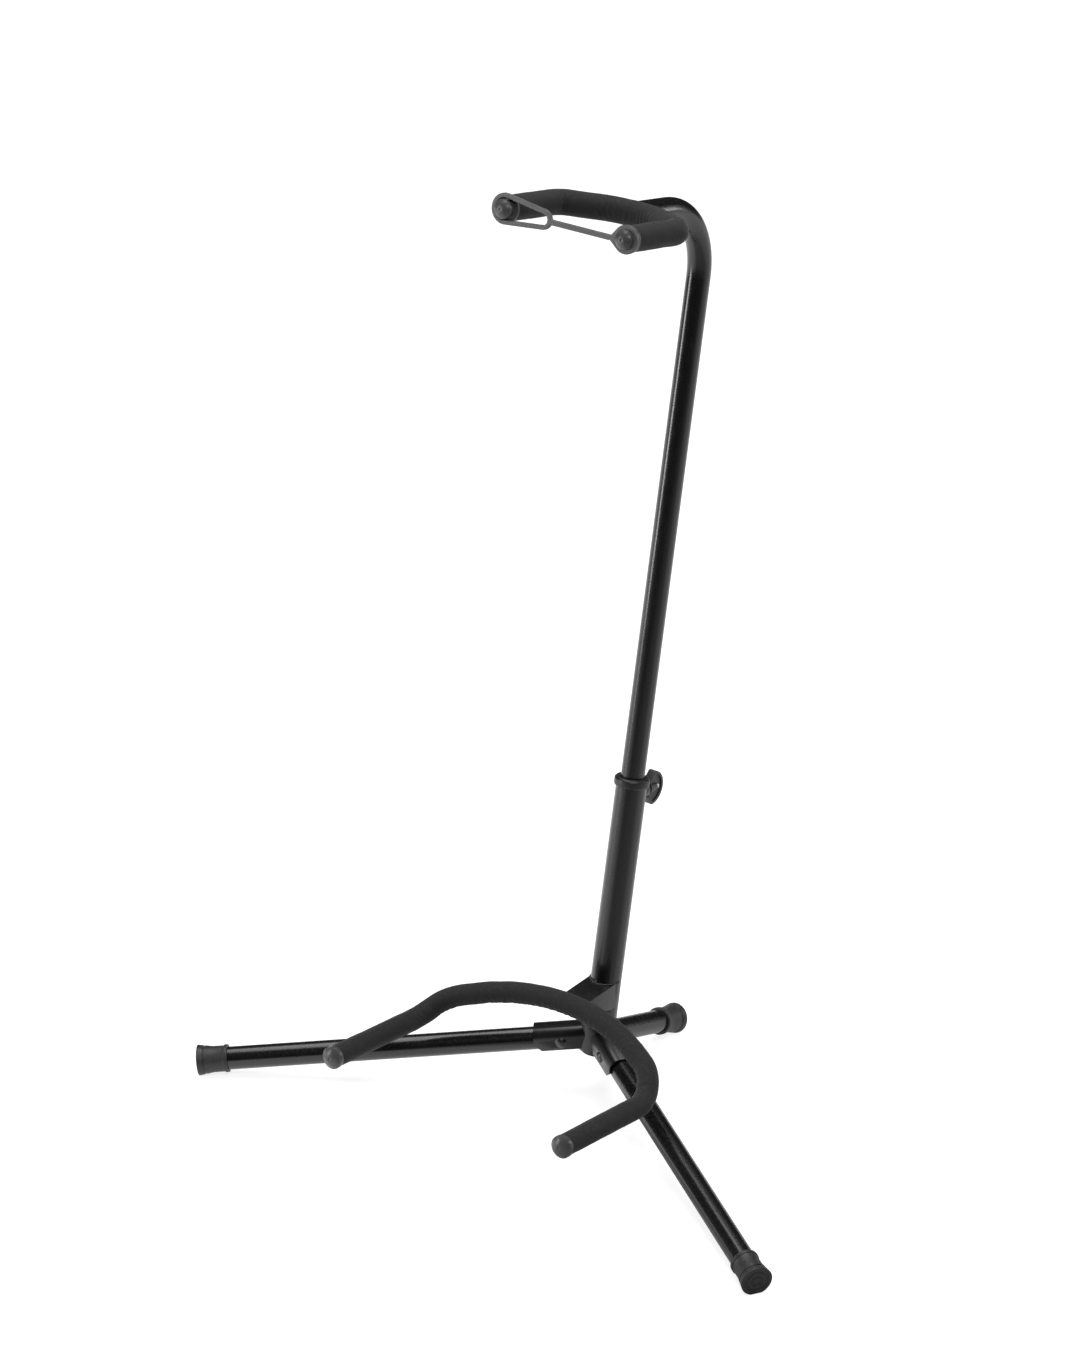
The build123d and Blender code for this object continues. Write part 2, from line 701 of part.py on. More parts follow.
yoke_line = yoke_path.line
with BuildPart() as yoke_rod:
    with BuildSketch(Plane(origin=yoke_line @ 0, z_dir=yoke_line % 0)):
        Circle(yoke_rod_diameter / 2)
    sweep(path=yoke_line)
    for side, name in sides:
        tip = mast_point(yoke_height, yoke_tip_forward, side * yoke_half)
        with BuildSketch(Plane(origin=tip, z_dir=forward)):
            Circle(yoke_rod_diameter / 2)
        extrude(amount=yoke_flange_thickness)
        with BuildSketch(Plane(origin=tip, z_dir=forward)):
            Circle(yoke_post_diameter / 2)
        extrude(amount=yoke_flange_thickness + yoke_neck_length)
finish(yoke_rod, "yoke_rod")

with BuildPart() as upper_tube:
    with BuildSketch(mast_level(upper_tube_bottom)):
        Circle(upper_tube_diameter / 2)
        Circle(upper_tube_bore / 2, mode=Mode.SUBTRACT)
    sweep(path=mast_path.line)
    add(yoke_rod.part, mode=Mode.SUBTRACT)
    behind_rod = upper_tube.solids().sort_by(SortBy.VOLUME)[-1]
    add(behind_rod, mode=Mode.REPLACE)
finish(upper_tube, "upper_tube")

# ---- glide: a plug in the upper tube's lower end that runs in the lower tube ----

glide_outer = lower_tube_bore / 2 - sliding_clearance
spigot_outer = upper_tube_bore / 2 - running_clearance
with BuildPart() as mast_glide:
    with BuildSketch(mast_level(upper_tube_bottom - running_clearance)):
        Circle(glide_outer)
    extrude(amount=-glide_flange)
    with BuildSketch(mast_level(upper_tube_bottom - running_clearance)):
        Circle(spigot_outer)
    extrude(amount=glide_spigot)
    with BuildSketch(mast_level(upper_tube_bottom)):
        Circle(spigot_outer - glide_spigot_wall)
    extrude(amount=glide_spigot, mode=Mode.SUBTRACT)
    low_rim = mast_glide.edges().filter_by(GeomType.CIRCLE).sort_by(mast_axis)[0]
    chamfer(low_rim, glide_flange / 5)
finish(mast_glide, "mast_glide")

# ---- yoke: foam sleeves over the rod, and a flanged button cap on each arm ----

for side, name in sides:
    with BuildPart() as yoke_foam:
        with BuildSketch(Plane(origin=yoke_line @ 0, z_dir=yoke_line % 0)):
            Circle(yoke_foam_diameter / 2)
            Circle(yoke_rod_diameter / 2 + foam_clearance, mode=Mode.SUBTRACT)
        sweep(path=yoke_line)
        split(bisect_by=Plane.YZ.offset(side * foam_joint / 2), keep=Keep.TOP if side > 0 else Keep.BOTTOM)
        with BuildSketch(yoke_level):
            with Locations((0, -yoke_bar_forward)):
                Rectangle(
                    upper_tube_diameter + 2 * sliding_clearance,
                    yoke_bar_forward,
                    align=(Align.CENTER, Align.MIN),
                )
        extrude(amount=yoke_foam_diameter, both=True, mode=Mode.SUBTRACT)
    finish(yoke_foam, "yoke_foam_" + name)

    tip = mast_point(yoke_height, yoke_tip_forward, side * yoke_half)
    neck_end = yoke_flange_thickness + yoke_neck_length
    button_base = neck_end + yoke_button_thickness
    with BuildPart() as yoke_cap:
        with BuildSketch(Plane(origin=tip, x_dir=right, z_dir=right.cross(forward))):
            with BuildLine():
                Polyline(
                    (0, button_base + yoke_button_dome),
                    (0, neck_end),
                    (yoke_post_diameter / 2, neck_end),
                    (yoke_post_diameter / 2, yoke_flange_thickness),
                    (yoke_rod_diameter / 2, yoke_flange_thickness),
                    (yoke_rod_diameter / 2, 0),
                    (yoke_flange_diameter / 2, 0),
                    (yoke_flange_diameter / 2, yoke_flange_thickness),
                    (yoke_neck_diameter / 2, yoke_flange_thickness),
                    (yoke_neck_diameter / 2, neck_end),
                    (yoke_button_diameter / 2, neck_end),
                    (yoke_button_diameter / 2, button_base),
                )
                RadiusArc(
                    (yoke_button_diameter / 2, button_base),
                    (0, button_base + yoke_button_dome),
                    -dome_radius(yoke_button_diameter, yoke_button_dome),
                )
            make_face()
        revolve(axis=Axis(tip, forward))
    finish(yoke_cap, "yoke_cap_" + name)

# ---- retaining strap: a ring held on the right cap, and a band that hooks on the left ----

strap_middle = yoke_tip_forward + yoke_flange_thickness + yoke_neck_length / 2
strap_plane = facing_forward(yoke_height, strap_middle)
hinge_aside = yoke_half - strap_neck_reach
ring_radius = strap_ring_diameter / 2
with BuildPart() as strap_anchor:
    with BuildSketch(strap_plane):
        with BuildSketch(mode=Mode.PRIVATE) as outline:
            with Locations((yoke_half, 0)):
                Circle(ring_radius)
            with Locations((hinge_aside + strap_band_width / 2, -strap_band_drop)):
                Circle(strap_band_width / 2)
        add(make_hull(outline.sketch.edges(), mode=Mode.PRIVATE))
        with Locations((yoke_half, 0)):
            Circle(yoke_neck_diameter / 2, mode=Mode.SUBTRACT)
        with Locations((hinge_aside + strap_hinge_gap / 2, 0)):
            Rectangle(
                strap_band_width, 2 * ring_radius, align=(Align.MAX, Align.CENTER), mode=Mode.SUBTRACT
            )
    extrude(amount=strap_thickness / 2, both=True)
finish(strap_anchor, "strap_anchor")

loop_hole = yoke_button_diameter / 2 + strap_loop_play
with BuildPart() as strap_band:
    with BuildSketch(strap_plane):
        with BuildSketch(mode=Mode.PRIVATE) as outline:
            with Locations((-yoke_half, 0)):
                Circle(loop_hole + strap_loop_band)
            with Locations((-yoke_half + strap_loop_reach, -strap_band_drop / 2)):
                Circle(strap_loop_end_radius)
        add(make_hull(outline.sketch.edges(), mode=Mode.PRIVATE))
        with Locations((hinge_aside - strap_hinge_gap / 2, -strap_band_drop)):
            Rectangle(
                hinge_aside + yoke_half - strap_loop_reach,
                strap_band_width,
                align=(Align.MAX, Align.CENTER),
            )
        with BuildSketch(mode=Mode.PRIVATE) as hole_outline:
            with Locations((-yoke_half, 0)):
                Circle(loop_hole)
            with Locations((-yoke_half + strap_loop_reach, -strap_band_drop / 2)):
                Circle(strap_loop_end_radius - strap_loop_band)
        add(make_hull(hole_outline.sketch.edges(), mode=Mode.PRIVATE), mode=Mode.SUBTRACT)
    extrude(amount=strap_thickness / 2, both=True)
finish(strap_band, "strap_band")
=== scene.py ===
import json
import math

import bpy
from mathutils import Matrix, Vector, noise


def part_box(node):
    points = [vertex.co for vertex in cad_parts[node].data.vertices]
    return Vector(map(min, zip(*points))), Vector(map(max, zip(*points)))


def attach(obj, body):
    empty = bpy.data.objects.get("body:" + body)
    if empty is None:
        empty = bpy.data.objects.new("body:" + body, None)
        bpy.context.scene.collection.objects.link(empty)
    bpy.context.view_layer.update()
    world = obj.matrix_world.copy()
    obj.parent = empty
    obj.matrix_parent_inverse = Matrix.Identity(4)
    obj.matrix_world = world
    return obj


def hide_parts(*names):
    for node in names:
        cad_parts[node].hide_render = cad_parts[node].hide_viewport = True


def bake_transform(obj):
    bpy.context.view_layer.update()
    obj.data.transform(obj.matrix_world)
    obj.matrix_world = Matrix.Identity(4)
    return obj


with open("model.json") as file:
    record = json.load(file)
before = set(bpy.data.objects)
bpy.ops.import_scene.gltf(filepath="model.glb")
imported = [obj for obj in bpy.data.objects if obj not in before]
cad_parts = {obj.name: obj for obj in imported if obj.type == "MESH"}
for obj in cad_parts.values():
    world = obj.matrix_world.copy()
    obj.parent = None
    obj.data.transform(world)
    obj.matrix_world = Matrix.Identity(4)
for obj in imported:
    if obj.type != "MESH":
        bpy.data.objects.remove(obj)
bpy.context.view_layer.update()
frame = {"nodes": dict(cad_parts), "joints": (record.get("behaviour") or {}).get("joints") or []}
nodes = frame["nodes"]
joints = {joint["name"]: joint for joint in frame["joints"]}
bpy.ops.object.select_all(action="DESELECT")

# ---- the stand's axes ----
# The mast and all three legs point at one hub inside the collar. The legs' directions come
# from the steel discs in the feet, and the mast's from the way that it slides.


def middle(node):
    """The middle of a CAD node's box."""
    low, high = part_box(node)
    return (low + high) / 2


right_pivot = middle("leg_pivot_rivet_right")
right_leg = (middle("foot_insert_right") - right_pivot).normalized()
left_leg = Vector((-right_leg.x, right_leg.y, right_leg.z))
hub = right_pivot - right_leg * (right_pivot.x / right_leg.x)
rear_leg = (middle("foot_insert_rear") - hub).normalized()
up_mast = Vector(joints["mast_height"]["axis"])
forward = Vector((0, -up_mast.z, up_mast.y))
right = Vector((1, 0, 0))
sides = ((1, "right"), (-1, "left"))


def on_mast(along, ahead=0.0, aside=0.0):
    """A point by its distance up the mast, ahead of its axis and to the right."""
    return hub + up_mast * along + forward * ahead + right * aside


# ---- camera ----
# A long lens from the front right, looking down on the whole stand, all three feet
# included, and tilted by less than a degree.

camera_offset = Vector((1.9354, -2.6345, 1.9490))
camera_turn = math.radians(37.07)
camera_drop = math.radians(26.44)
camera_roll = math.radians(-0.72)
bpy.ops.object.camera_add()
camera = bpy.context.object
camera.data.lens = 125.47
camera.data.sensor_width = 36.0
camera.data.clip_end = 60.0
camera.matrix_world = (
    Matrix.Translation(hub + camera_offset)
    @ Matrix.Rotation(camera_turn, 4, "Z")
    @ Matrix.Rotation(math.pi / 2 - camera_drop, 4, "X")
    @ Matrix.Rotation(camera_roll, 4, "Z")
)
bpy.context.scene.camera = camera

# ---- floor and studio ----
# A pale paper floor that looks lit through to the camera, so that shadows stay faint. In
# reflections it is bright to the left, dim to the right and dark ahead, which gives the
# tubes their bands. A zone is the bearing where it starts, the one where it is full, and
# its level. Only the camera sees the white surround, and soft boxes add highlights.

floor_radius = 3.8
paper_glow_unseen = 0.06
paper_glow_seen = 0.82
left_zone = (-0.55, -0.95, 0.85)
right_zone = (0.85, 1.25, 0.4)
bpy.ops.mesh.primitive_circle_add(vertices=128, radius=floor_radius, fill_type="NGON")
floor = bpy.context.object
floor.name = "paper_floor"
paper = bpy.data.materials.new("paper")
paper.use_nodes = True
paper_shader = paper.node_tree.nodes["Principled BSDF"]
paper_shader.inputs["Base Color"].default_value = (0.5, 0.5, 0.5, 1)
paper_shader.inputs["Roughness"].default_value = 0.9
paper_shader.inputs["Specular IOR Level"].default_value = 0.0
paper_shader.inputs["Emission Color"].default_value = (1, 1, 1, 1)
paper_nodes, paper_links = paper.node_tree.nodes, paper.node_tree.links
paper_ray = paper_nodes.new("ShaderNodeLightPath")
paper_glow = paper_nodes.new("ShaderNodeMapRange")
paper_glow.inputs["To Min"].default_value = paper_glow_unseen
paper_glow.inputs["To Max"].default_value = paper_glow_seen
paper_links.new(paper_ray.outputs["Is Camera Ray"], paper_glow.inputs["Value"])
paper_place = paper_nodes.new("ShaderNodeTexCoord")
paper_bearing = paper_nodes.new("ShaderNodeMath")
paper_bearing.operation = "ARCTAN2"
aside_way = (math.cos(camera_turn), math.sin(camera_turn), 0)
ahead_way = (math.sin(camera_turn), -math.cos(camera_turn), 0)
for socket, way in enumerate((aside_way, ahead_way)):
    paper_reach = paper_nodes.new("ShaderNodeVectorMath")
    paper_reach.operation = "DOT_PRODUCT"
    paper_reach.inputs[1].default_value = way
    paper_links.new(paper_place.outputs["Object"], paper_reach.inputs[0])
    paper_links.new(paper_reach.outputs["Value"], paper_bearing.inputs[socket])
paper_lift = paper_glow.outputs["Result"]
for start, full, level in (left_zone, right_zone):
    paper_zone = paper_nodes.new("ShaderNodeMapRange")
    paper_zone.inputs["From Min"].default_value = start
    paper_zone.inputs["From Max"].default_value = full
    paper_zone.inputs["To Max"].default_value = level
    paper_links.new(paper_bearing.outputs[0], paper_zone.inputs["Value"])
    paper_seen = paper_nodes.new("ShaderNodeMath")
    paper_seen.operation = "MULTIPLY_ADD"
    paper_links.new(paper_zone.outputs["Result"], paper_seen.inputs[0])
    paper_links.new(paper_ray.outputs["Is Glossy Ray"], paper_seen.inputs[1])
    paper_links.new(paper_lift, paper_seen.inputs[2])
    paper_lift = paper_seen.outputs[0]
paper_links.new(paper_lift, paper_shader.inputs["Emission Strength"])
floor.data.materials.append(paper)

studio = bpy.data.worlds.new("studio")
bpy.context.scene.world = studio
studio.use_nodes = True
studio.node_tree.nodes.clear()
dim_room = studio.node_tree.nodes.new("ShaderNodeBackground")
dim_room.inputs["Color"].default_value = (0.02, 0.02, 0.02, 1)
white_room = studio.node_tree.nodes.new("ShaderNodeBackground")
white_room.inputs["Color"].default_value = (1, 1, 1, 1)
ray_kind = studio.node_tree.nodes.new("ShaderNodeLightPath")
room_mix = studio.node_tree.nodes.new("ShaderNodeMixShader")
room_output = studio.node_tree.nodes.new("ShaderNodeOutputWorld")
studio.node_tree.links.new(ray_kind.outputs["Is Camera Ray"], room_mix.inputs["Fac"])
studio.node_tree.links.new(dim_room.outputs["Background"], room_mix.inputs[1])
studio.node_tree.links.new(white_room.outputs["Background"], room_mix.inputs[2])
studio.node_tree.links.new(room_mix.outputs["Shader"], room_output.inputs["Surface"])
bpy.context.scene.view_settings.view_transform = "Standard"


def soft_box(name, place, target, width, height, power):
    """A rectangular light that the camera doesn't see."""
    bpy.ops.object.light_add(type="AREA", location=place)
    lamp = bpy.context.object
    lamp.name = name
    lamp.rotation_euler = (Vector(target) - Vector(place)).to_track_quat("-Z", "Y").to_euler()
    lamp.data.shape = "RECTANGLE"
    lamp.data.size = width
    lamp.data.size_y = height
    lamp.data.energy = power
    lamp.visible_camera = False


boxes = (
    ("top_box", (-0.4, 0.5, 3.2), (0.0, 0.0, 0.35), 2.6, 2.6, 90),
    ("key_strip", (1.9, -1.6, 2.9), (0.0, 0.0, 0.1), 1.6, 0.28, 34),
    ("left_window", (-1.9, -1.75, 0.75), (0.0, 0.0, 0.6), 0.5, 1.3, 24),
    ("back_right_window", (1.5, 2.1, 1.0), (0.0, 0.0, 0.4), 0.5, 1.4, 12),
)
for name, place, target, width, height, power in boxes:
    soft_box(name, place, target, width, height, power)

# ---- lower tube, with the enamel that all the tubes share ----
# Drawn steel tube 25 mm across, welded into the hub's collar and dipped in black enamel.
# The enamel is glossy, a little uneven like orange peel, with hairline rubs and light dust.


def put(tree, kind, feeds=(), **settings):
    """Adds a node. A feed is a plain value or the output of another node."""
    node = tree.nodes.new(kind)
    for setting, value in settings.items():
        setattr(node, setting, value)
    for socket, value in dict(feeds).items():
        if isinstance(value, bpy.types.NodeSocket):
            tree.links.new(value, node.inputs[socket])
        else:
            node.inputs[socket].default_value = value
    return node


def new_group(name, inputs, outputs):
    """An empty shader group with float inputs and the given outputs."""
    group = bpy.data.node_groups.new(name, "ShaderNodeTree")
    for label, value in inputs.items():
        socket = group.interface.new_socket(
            name=label, in_out="INPUT", socket_type="NodeSocketFloat"
        )
        socket.default_value = value
    for label, kind in outputs.items():
        group.interface.new_socket(name=label, in_out="OUTPUT", socket_type=kind)
    return group, group.nodes.new("NodeGroupInput"), group.nodes.new("NodeGroupOutput")


def between(tree, mask, low, high):
    """A value that goes from low to high with a mask."""
    node = put(tree, "ShaderNodeMapRange", {"Value": mask, "To Min": low, "To Max": high})
    return node.outputs["Result"]


def grey_tone(level):
    """A neutral colour."""
    return (level, level, level, 1)


def blend_colour(tree, mask, base, top):
    """A colour that goes from one to another with a mask."""
    node = put(tree, "ShaderNodeMix", {"Factor": mask, 6: base, 7: top}, data_type="RGBA")
    return node.outputs[2]


# Fine grain: a bump of a given grain size, and its own height as a mask.
grain, grain_in, grain_out = new_group(
    "fine_grain",
    {"Scale": 800.0, "Depth": 0.00005, "Roughness": 0.5},
    {"Normal": "NodeSocketVector", "Mask": "NodeSocketFloat"},
)
grain_place = put(grain, "ShaderNodeTexCoord")
grain_noise = put(
    grain,
    "ShaderNodeTexNoise",
    {
        "Vector": grain_place.outputs["Object"],
        "Scale": grain_in.outputs["Scale"],
        "Detail": 3.0,
        "Roughness": grain_in.outputs["Roughness"],
    },
)
grain_bump = put(
    grain,
    "ShaderNodeBump",
    {"Height": grain_noise.outputs["Fac"], "Distance": grain_in.outputs["Depth"], "Strength": 1.0},
)
grain.links.new(grain_bump.outputs["Normal"], grain_out.inputs["Normal"])
grain.links.new(grain_noise.outputs["Fac"], grain_out.inputs["Mask"])

# Worn edge: how sharply the surface turns within a given width, broken up by noise.
wear, wear_in, wear_out = new_group(
    "worn_edge", {"Width": 0.0006, "Gain": 5.0}, {"Mask": "NodeSocketFloat"}
)
wear_round = put(wear, "ShaderNodeBevel", {"Radius": wear_in.outputs["Width"]}, samples=6)
wear_flat = put(wear, "ShaderNodeNewGeometry")
wear_turn = put(
    wear,
    "ShaderNodeVectorMath",
    {0: wear_round.outputs["Normal"], 1: wear_flat.outputs["Normal"]},
    operation="DOT_PRODUCT",
)
wear_amount = put(
    wear, "ShaderNodeMath", {0: 1.0, 1: wear_turn.outputs["Value"]}, operation="SUBTRACT"
)
wear_place = put(wear, "ShaderNodeTexCoord")
wear_noise = put(
    wear,
    "ShaderNodeTexNoise",
    {"Vector": wear_place.outputs["Object"], "Scale": 160.0, "Detail": 5.0},
)
wear_patch = put(
    wear,
    "ShaderNodeMapRange",
    {"Value": wear_noise.outputs["Fac"], "From Min": 0.42, "From Max": 0.66},
)
wear_gain = put(
    wear, "ShaderNodeMath", {0: wear_amount.outputs[0], 1: wear_in.outputs["Gain"]}, operation="MULTIPLY"
)
wear_mask = put(
    wear,
    "ShaderNodeMath",
    {0: wear_gain.outputs[0], 1: wear_patch.outputs["Result"]},
    operation="MULTIPLY",
    use_clamp=True,
)
wear.links.new(wear_mask.outputs[0], wear_out.inputs["Mask"])

# Dust: faint specks and a soft film on what faces upwards.
dust, dust_in, dust_out = new_group("settled_dust", {"Amount": 0.3}, {"Mask": "NodeSocketFloat"})
dust_face = put(dust, "ShaderNodeNewGeometry")
dust_split = put(dust, "ShaderNodeSeparateXYZ", {0: dust_face.outputs["Normal"]})
dust_up = put(
    dust, "ShaderNodeMapRange", {"Value": dust_split.outputs["Z"], "From Min": 0.2, "From Max": 1.0}
)
dust_place = put(dust, "ShaderNodeTexCoord")
dust_specks = put(
    dust,
    "ShaderNodeTexNoise",
    {"Vector": dust_place.outputs["Object"], "Scale": 420.0, "Detail": 6.0, "Roughness": 0.7},
)
dust_level = put(
    dust,
    "ShaderNodeMapRange",
    {"Value": dust_specks.outputs["Fac"], "From Min": 0.5, "From Max": 0.75},
)
dust_lie = put(
    dust,
    "ShaderNodeMath",
    {0: dust_up.outputs["Result"], 1: dust_level.outputs["Result"]},
    operation="MULTIPLY",
)
dust_mask = put(
    dust,
    "ShaderNodeMath",
    {0: dust_lie.outputs[0], 1: dust_in.outputs["Amount"]},
    operation="MULTIPLY",
    use_clamp=True,
)
dust.links.new(dust_mask.outputs[0], dust_out.inputs["Mask"])


def surface(name, roughness, metallic=0.0, specular=0.5, coat=0.0, coat_roughness=0.1, sheen=0.0):
    """A material with its plain values set on the shader itself."""
    material = bpy.data.materials.new(name)
    material.use_nodes = True
    shader = material.node_tree.nodes["Principled BSDF"]
    shader.inputs["Roughness"].default_value = roughness
    shader.inputs["Metallic"].default_value = metallic
    shader.inputs["Specular IOR Level"].default_value = specular
    shader.inputs["Coat Weight"].default_value = coat
    shader.inputs["Coat Roughness"].default_value = coat_roughness
    shader.inputs["Sheen Weight"].default_value = sheen
    shader.inputs["Sheen Roughness"].default_value = 0.4
    return material, material.node_tree, shader


def use_group(tree, group, **values):
    """A copy of a shared group in a material, with its own values."""
    node = tree.nodes.new("ShaderNodeGroup")
    node.node_tree = group
    for label, value in values.items():
        node.inputs[label].default_value = value
    return node


def paint(piece, material):
    """Gives a whole piece one material."""
    piece.data.materials.clear()
    piece.data.materials.append(material)


def enamel_finish(name, roughness, coat, peel_depth, edge_gain):
    """Black stove enamel over steel, in a smoother or a coarser coat."""
    material, tree, shader = surface(name, roughness, coat=coat, coat_roughness=0.07)
    peel = use_group(tree, grain, Scale=220.0, Depth=peel_depth, Roughness=0.3)
    edge = use_group(tree, wear, Width=0.0005, Gain=edge_gain)
    film = use_group(tree, dust, Amount=0.22)
    rub_place = put(tree, "ShaderNodeTexCoord")
    rub_stretch = put(
        tree, "ShaderNodeMapping", {"Vector": rub_place.outputs["Object"], "Scale": (500, 500, 60)}
    )
    rub_noise = put(
        tree, "ShaderNodeTexNoise", {"Vector": rub_stretch.outputs["Vector"], "Scale": 1.0, "Detail": 4.0}
    )
    rubs = put(
        tree,
        "ShaderNodeMapRange",
        {"Value": rub_noise.outputs["Fac"], "From Min": 0.62, "From Max": 0.8},
    )
    black = (0.006, 0.006, 0.0063, 1)
    bare_steel = (0.17, 0.165, 0.16, 1)
    dust_colour = (0.12, 0.12, 0.115, 1)
    pigment = blend_colour(tree, rubs.outputs["Result"], black, grey_tone(0.011))
    worn = blend_colour(tree, edge.outputs["Mask"], pigment, bare_steel)
    dusty = blend_colour(tree, film.outputs["Mask"], worn, dust_colour)
    tree.links.new(dusty, shader.inputs["Base Color"])
    tree.links.new(
        between(tree, rub_noise.outputs["Fac"], roughness - 0.05, roughness + 0.12),
        shader.inputs["Roughness"],
    )
    tree.links.new(peel.outputs["Normal"], shader.inputs["Normal"])
    return material


tube_enamel = enamel_finish(
    "tube_enamel", roughness=0.22, coat=0.2, peel_depth=0.000003, edge_gain=2.0
)
paint(nodes["lower_tube"], tube_enamel)

# ---- plug in the lower tube's bottom end ----
# A push-in cap of black nylon, moulded with a spark-eroded grain, that closes the tube
# below the collar.


def plastic_finish(name, grey, roughness):
    """Moulded black plastic with a fine eroded grain."""
    material, tree, shader = surface(name, roughness)
    skin = use_group(tree, grain, Scale=2600.0, Depth=0.00003, Roughness=0.6)
    flow = use_group(tree, grain, Scale=70.0, Depth=0.0, Roughness=0.4)
    edge = use_group(tree, wear, Width=0.0004, Gain=2.5)
    body = blend_colour(
        tree, flow.outputs["Mask"], grey_tone(grey * 0.8), grey_tone(grey * 1.25)
    )
    worn = blend_colour(tree, edge.outputs["Mask"], body, grey_tone(grey * 4))
    tree.links.new(worn, shader.inputs["Base Color"])
    tree.links.new(
        between(tree, flow.outputs["Mask"], roughness - 0.06, roughness + 0.08),
        shader.inputs["Roughness"],
    )
    tree.links.new(skin.outputs["Normal"], shader.inputs["Normal"])
    return material


black_nylon = plastic_finish("black_nylon", grey=0.018, roughness=0.42)


def pick(piece):
    """Makes a piece the active one and the only one selected."""
    bpy.ops.object.select_all(action="DESELECT")
    piece.select_set(True)
    bpy.context.view_layer.objects.active = piece


def softened(node, name, body, material, width):
    """A copy of a CAD piece, joined up and with its sharp edges rounded, in the piece's place."""
    piece = bpy.data.objects.new(name, nodes[node].data.copy())
    bpy.context.scene.collection.objects.link(piece)
    pick(piece)
    bpy.ops.mesh.customdata_custom_splitnormals_clear()
    bpy.ops.object.mode_set(mode="EDIT")
    bpy.ops.mesh.select_all(action="SELECT")
    bpy.ops.mesh.remove_doubles(threshold=0.000002)
    bpy.ops.mesh.dissolve_limited(angle_limit=math.radians(0.6))
    bpy.ops.object.mode_set(mode="OBJECT")
    soften(piece, width)
    paint(piece, material)
    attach(piece, body)
    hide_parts(node)


def soften(piece, width, angle=38):
    """Rounds a piece's sharp edges and smooths what is left."""
    bevel = piece.modifiers.new("round", "BEVEL")
    bevel.width = width
    bevel.segments = 3
    bevel.limit_method = "ANGLE"
    bevel.angle_limit = math.radians(angle)
    apply_modifiers(piece)
    bpy.ops.object.shade_smooth_by_angle(angle=math.radians(angle))


def apply_modifiers(piece):
    """Makes a piece's modifiers part of its mesh."""
    pick(piece)
    for modifier in list(piece.modifiers):
        bpy.ops.object.modifier_apply(modifier=modifier.name)


softened("lower_tube_plug", "tube_plug", "base", black_nylon, width=0.0003)

# ---- hub bracket ----
# Pressed sheet steel: a collar round the mast and a closed-top saddle over each front leg.
# It is enamelled with the tubes, in a coarser coat that has rubbed thin along the edges.

bracket_enamel = enamel_finish(
    "bracket_enamel", roughness=0.31, coat=0.15, peel_depth=0.000007, edge_gain=5.0
)
softened("hub_bracket", "hub_saddles", "base", bracket_enamel, width=0.00035)

# ---- rear leg ----
# A short steel tube coped to the collar, welded all round and enamelled with it. This leg
# doesn't fold, so it has no rivet.

paint(nodes["rear_leg_tube"], tube_enamel)

# ---- weld beads ----
# Rippled beads of weld metal under the enamel: where the rear leg meets the collar, round
# both rims of the collar, and round the boss of the clamp screw.

bead_radius = 0.0011
boss_bead_radius = 0.6 * bead_radius
bead_steps = 180
bead_ripples = 44
bead_ripple_height = 0.16
bead_lump_height = 0.25
bead_lumps_per_metre = 260
collar_radius = 0.0157
lower_tube_radius = 0.0125
leg_radius = 0.0095


def meets_mast(origin, direction, radius, mast_radius):
    """Where a round piece's outside meets a cylinder about the mast, as a ring of points."""
    across = direction.orthogonal().normalized()
    upright = direction.cross(across)
    flat_run = direction - up_mast * direction.dot(up_mast)
    points = []
    for step in range(bead_steps):
        turn = 2 * math.pi * step / bead_steps
        start = origin + (across * math.cos(turn) + upright * math.sin(turn)) * radius
        flat = (start - hub) - up_mast * (start - hub).dot(up_mast)
        half = flat.dot(flat_run) / flat_run.length_squared
        rest = (flat.length_squared - mast_radius**2) / flat_run.length_squared
        points.append(start + direction * (math.sqrt(half**2 - rest) - half))
    return points


def ring_round_mast(along, radius):
    """A ring of points round the mast."""
    turns = [2 * math.pi * step / bead_steps for step in range(bead_steps)]
    return [on_mast(along, radius * math.cos(turn), radius * math.sin(turn)) for turn in turns]


def weld_bead(name, points, closed, radius):
    """A bead laid along points, swelling and narrowing with each ripple."""
    line = bpy.data.curves.new(name, "CURVE")
    line.dimensions = "3D"
    line.bevel_depth = radius
    line.bevel_resolution = 3
    line.use_fill_caps = True
    spline = line.splines.new("POLY")
    spline.points.add(len(points) - 1)
    spline.use_cyclic_u = closed
    for index, (knot, point) in enumerate(zip(spline.points, points)):
        knot.co = (*point, 1)
        ripple = math.sin(2 * math.pi * bead_ripples * index / bead_steps)
        uneven = noise.noise(point * bead_lumps_per_metre)
        knot.radius = 1 + bead_ripple_height * ripple + bead_lump_height * uneven
    bead = bpy.data.objects.new(name, line)
    bpy.context.scene.collection.objects.link(bead)
    pick(bead)
    bpy.ops.object.convert(target="MESH")
    bead = bpy.context.object
    bpy.ops.object.shade_smooth()
    paint(bead, bracket_enamel)
    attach(bead, "base")


clamp_along = (Vector(joints["clamp_turn"]["pos_m"]) - hub).dot(up_mast)
boss_radius = 0.0065
collar_top = 0.012
collar_bottom = -0.013
weld_bead("rear_leg_weld", meets_mast(hub, rear_leg, leg_radius, collar_radius), True, bead_radius)
weld_bead("collar_top_weld", ring_round_mast(collar_top, lower_tube_radius), True, bead_radius)
weld_bead("collar_bottom_weld", ring_round_mast(collar_bottom, lower_tube_radius), True, bead_radius)
boss_ring = meets_mast(on_mast(clamp_along), -forward, boss_radius, lower_tube_radius)
weld_bead("boss_weld", boss_ring, True, boss_bead_radius)

# ---- front legs and what holds them ----
# Two enamelled tubes, each on a domed rivet of blackened steel through its saddle, with a
# zinc-plated spacer inside so that the rivet doesn't crush the tube.


